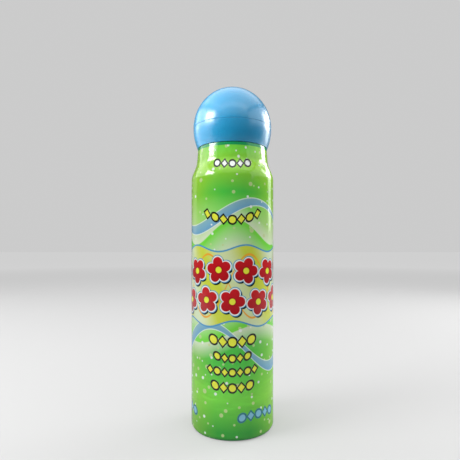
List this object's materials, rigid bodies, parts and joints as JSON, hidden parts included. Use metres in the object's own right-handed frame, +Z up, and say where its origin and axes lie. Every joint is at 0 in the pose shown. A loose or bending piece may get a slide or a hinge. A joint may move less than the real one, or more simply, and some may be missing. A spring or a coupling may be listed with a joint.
{
  "type": "dab-on glue bottle",
  "caption": "Round glue bottle in a green printed sleeve, with a sprung foam dab tip under a blue ball-shaped screw cap.",
  "frame": {"origin": "centre of the standing ring, in the plane that the bottle stands on", "axes": "+Z up along the bottle's axis, towards the cap; -Y towards the front of the print"},
  "size_m": [0.03, 0.03, 0.1224],
  "materials": {
    "bottle_white": "satin",
    "sleeve_film": "gloss",
    "clear_glue": "gloss",
    "gasket_foam": "matte",
    "white_moulding": "satin",
    "natural_moulding": "satin",
    "spring_steel": "polished",
    "seal_rubber": "matte",
    "tip_foam": "matte",
    "cap_blue": "gloss"
  },
  "bodies": {
    "bottle": {"bottle": "bottle_white", "shrink_sleeve": "sleeve_film", "glue_fill": "clear_glue", "neck_gasket": "gasket_foam", "valve_housing": "white_moulding", "spring_cage": "natural_moulding", "valve_spring": "spring_steel", "foam_tip": "tip_foam", "tip_collar": "white_moulding"},
    "valve": {"valve_stem": "white_moulding", "stem_seal": "seal_rubber", "spreader": "natural_moulding"},
    "liner": {"cap_liner": "gasket_foam"},
    "cap": {"cap_base": "cap_blue", "cap_dome": "cap_blue"}
  },
  "joints": [
    {"name": "valve_press", "type": "slide", "parent": "bottle", "child": "valve", "axis": [0, 0, 1], "range_m": [-0.003, 0], "stiffness_N_per_m": 400, "springref_m": 0.002, "deforming": ["valve_spring", "foam_tip"]},
    {"name": "cap_lift", "type": "slide", "parent": "bottle", "child": "liner", "axis": [0, 0, 1], "range_m": [0, 0.021]},
    {"name": "cap_turn", "type": "hinge", "parent": "liner", "child": "cap", "pos_m": [0, 0, 0.1003], "axis": [0, 0, 1], "range_deg": [0, 2520]}
  ],
  "couplings": [
    {"joint": "cap_turn", "follows": "cap_lift", "rad_per_m": 2094.4}
  ]
}
